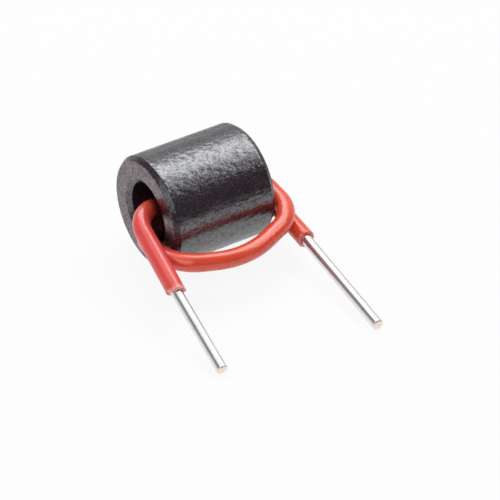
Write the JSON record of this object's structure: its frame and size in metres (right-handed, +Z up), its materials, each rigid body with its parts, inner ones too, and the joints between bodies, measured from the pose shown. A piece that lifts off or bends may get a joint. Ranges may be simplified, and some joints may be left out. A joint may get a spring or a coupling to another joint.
{
  "type": "wired ferrite bead",
  "caption": "Small cylindrical ferrite core with red insulated wire wound through its bore in a loop, ending in bare tinned leads.",
  "frame": {"origin": "middle of the base of the part's box, on the flat surface that it lies on", "axes": "+X along the ferrite core, -Y the way the leads point, +Z up from the surface"},
  "size_m": [0.0096, 0.0142, 0.006],
  "materials": {
    "ferrite": "satin sintered",
    "tinned_copper": "bright tin",
    "red_insulation": "gloss"
  },
  "bodies": {
    "root": {"ferrite_core": "ferrite", "conductor": "tinned_copper", "insulation": "red_insulation"}
  },
  "joints": []
}
